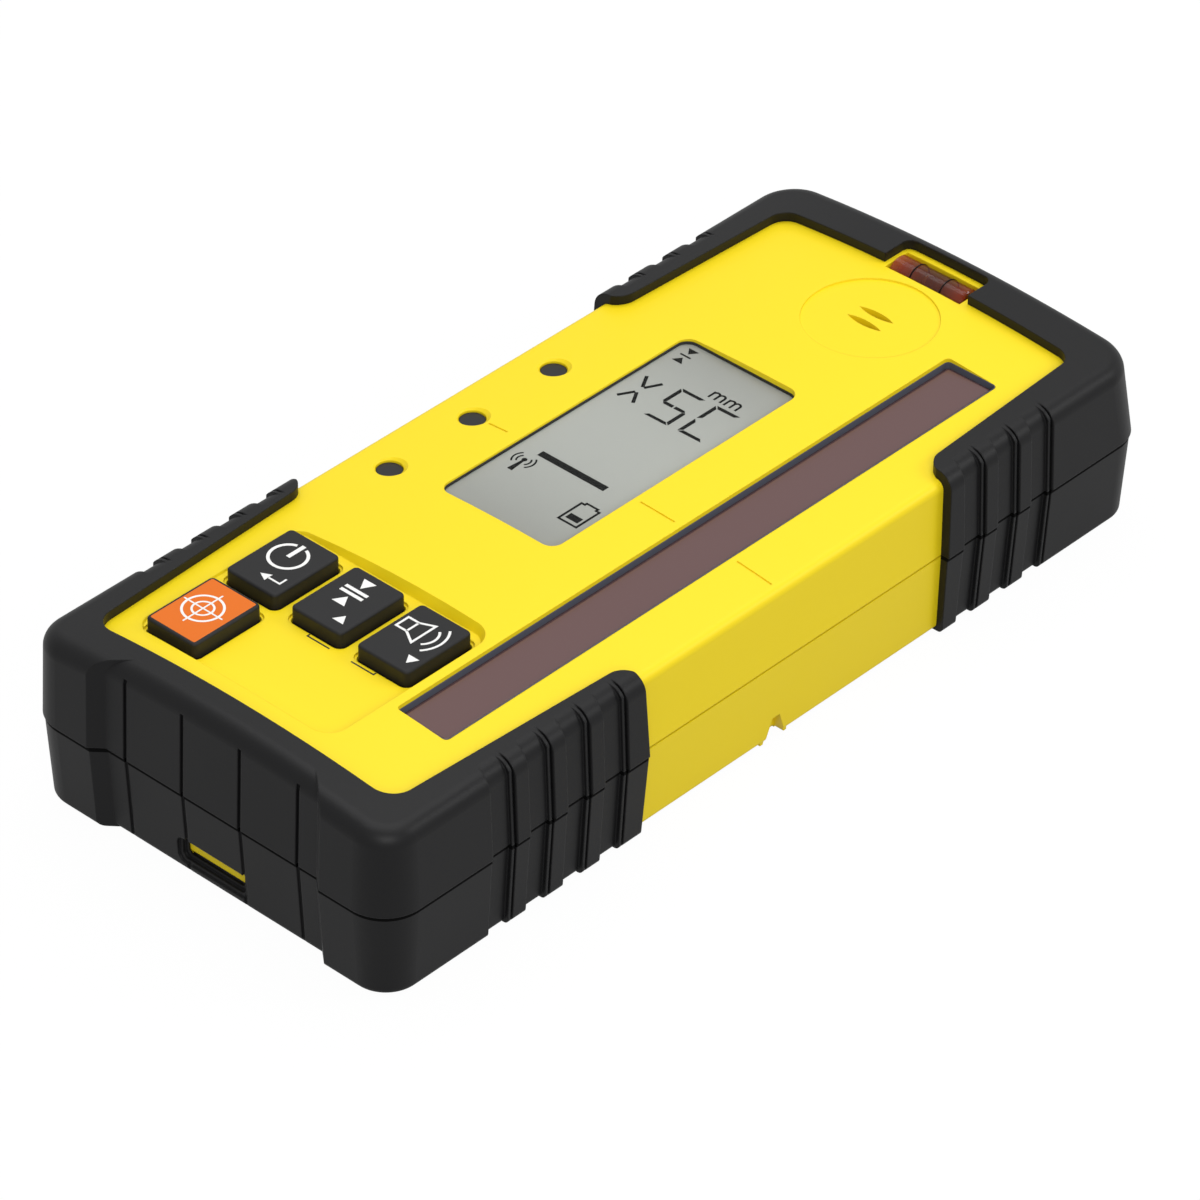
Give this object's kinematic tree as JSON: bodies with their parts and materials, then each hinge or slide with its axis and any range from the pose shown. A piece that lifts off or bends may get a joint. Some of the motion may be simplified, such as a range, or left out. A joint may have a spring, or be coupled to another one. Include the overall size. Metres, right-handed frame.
{
  "type": "laser receiver",
  "caption": "Hand-held laser receiver with rubber bumpers, display, long receiving window, level vial, keypad and a hinged battery door.",
  "frame": {"origin": "middle of the footprint, on the plane that the rubber bumpers' backs lie on", "axes": "+Z out of the face, +Y towards the vial end, +X towards the receiving window"},
  "size_m": [0.076, 0.173, 0.0323],
  "materials": {
    "yellow_plastic": "satin, fine grain",
    "black_rubber": "matte, fine grain",
    "black_plastic": "matte",
    "key_rubber": "matte",
    "orange_rubber": "matte",
    "clear_pane": "polished",
    "display_cell": "reflective cell",
    "tinted_filter": "polished, deep brown tint",
    "dark_lens": "polished",
    "vial_glass": "polished",
    "vial_fluid": "clear, red-brown",
    "ring_black": "matte",
    "gasket_rubber": "matte",
    "board_green": "solder mask",
    "chip_black": "matte",
    "led_white": "satin",
    "silicone_grey": "matte",
    "zebra_strip": "matte",
    "spring_steel": "nickel plated",
    "screw_steel": "zinc plated",
    "brass": "turned",
    "cell_jacket": "printed film, plain",
    "mesh_black": "acoustic cloth"
  },
  "bodies": {
    "casing": {"front_shell": "yellow_plastic", "back_shell": "yellow_plastic", "casing_gasket": "gasket_rubber", "upper_bumper_front": "black_rubber", "upper_bumper_back": "black_rubber", "lower_bumper_front": "black_rubber", "lower_bumper_back": "black_rubber", "display_window": "clear_pane", "display_panel": "display_cell", "display_frame": "black_plastic", "display_connectors": "zebra_strip", "receiving_window": "tinted_filter", "sensor_board": "board_green", "photodiodes": "chip_black", "led_lenses": "dark_lens", "leds": "led_white", "level_vial": "vial_glass", "vial_liquid": "vial_fluid", "vial_bubble": "vial_glass", "vial_rings": "ring_black", "buzzer": "black_plastic", "sound_membrane": "mesh_black", "main_board": "board_green", "board_chips": "chip_black", "board_screws": "screw_steel", "keypad_mat": "silicone_grey", "key_domes": "spring_steel", "battery_left": "cell_jacket", "battery_right": "cell_jacket", "contact_plates": "spring_steel", "contact_strap": "spring_steel", "contact_springs": "spring_steel", "hinge_pin": "spring_steel", "casing_screws": "screw_steel", "clamp_insert": "brass"},
    "power_key": {"key_power": "key_rubber"},
    "accuracy_key": {"key_accuracy": "key_rubber"},
    "volume_key": {"key_volume": "key_rubber"},
    "capture_key": {"key_capture": "key_rubber", "capture_inlay": "orange_rubber"},
    "door": {"battery_door": "black_plastic", "door_seal": "silicone_grey"}
  },
  "joints": [
    {"name": "power_key_press", "type": "slide", "parent": "casing", "child": "power_key", "axis": [0, 0, -1], "range_m": [0, 0.0008], "stiffness_N_per_m": 1500},
    {"name": "accuracy_key_press", "type": "slide", "parent": "casing", "child": "accuracy_key", "axis": [0, 0, -1], "range_m": [0, 0.0008], "stiffness_N_per_m": 1500},
    {"name": "volume_key_press", "type": "slide", "parent": "casing", "child": "volume_key", "axis": [0, 0, -1], "range_m": [0, 0.0008], "stiffness_N_per_m": 1500},
    {"name": "capture_key_press", "type": "slide", "parent": "casing", "child": "capture_key", "axis": [0, 0, -1], "range_m": [0, 0.0008], "stiffness_N_per_m": 1500},
    {"name": "door_open", "type": "hinge", "parent": "casing", "child": "door", "pos_m": [0, -0.0172, 0.0024], "axis": [1, 0, 0], "range_deg": [0, 110]}
  ]
}
